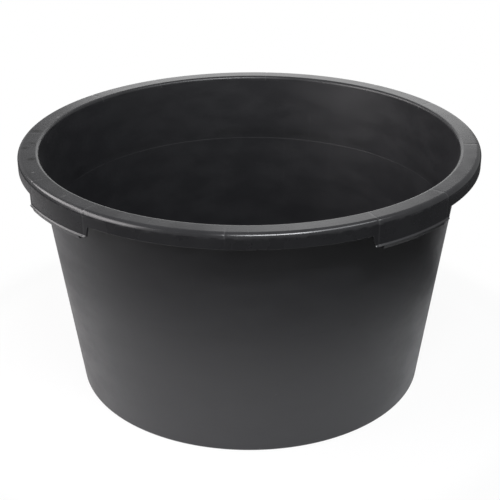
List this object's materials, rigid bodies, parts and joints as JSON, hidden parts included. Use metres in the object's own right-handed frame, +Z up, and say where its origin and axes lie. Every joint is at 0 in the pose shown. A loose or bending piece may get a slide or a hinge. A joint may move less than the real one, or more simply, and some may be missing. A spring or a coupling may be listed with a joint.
{
  "type": "mortar mixing tub",
  "caption": "Round black plastic mortar mixing tub with a leaning wall, a flat overhanging rim, a rim skirt and finger grips hanging below the skirt.",
  "frame": {"origin": "middle of the base, on the ground plane the tub stands on", "axes": "+Z up along the tub's axis; the grips lie on +X, +Y, -X and -Y"},
  "size_m": [0.6748, 0.6748, 0.3675],
  "materials": {
    "black_plastic": "satin moulded polyethylene, black, lightly scuffed"
  },
  "bodies": {
    "root": {"floor_plate": "black_plastic", "foot_ring": "black_plastic", "side_wall": "black_plastic", "rim_flange": "black_plastic", "rim_skirt": "black_plastic", "grip_tab_right": "black_plastic", "grip_tab_back": "black_plastic", "grip_tab_left": "black_plastic", "grip_tab_front": "black_plastic", "finger_bar_right": "black_plastic", "finger_bar_back": "black_plastic", "finger_bar_left": "black_plastic", "finger_bar_front": "black_plastic", "grip_web_right_a": "black_plastic", "grip_web_right_b": "black_plastic", "grip_web_back_a": "black_plastic", "grip_web_back_b": "black_plastic", "grip_web_left_a": "black_plastic", "grip_web_left_b": "black_plastic", "grip_web_front_a": "black_plastic", "grip_web_front_b": "black_plastic", "rim_web_right": "black_plastic", "rim_web_back": "black_plastic", "rim_web_left": "black_plastic", "rim_web_front": "black_plastic"}
  },
  "joints": []
}
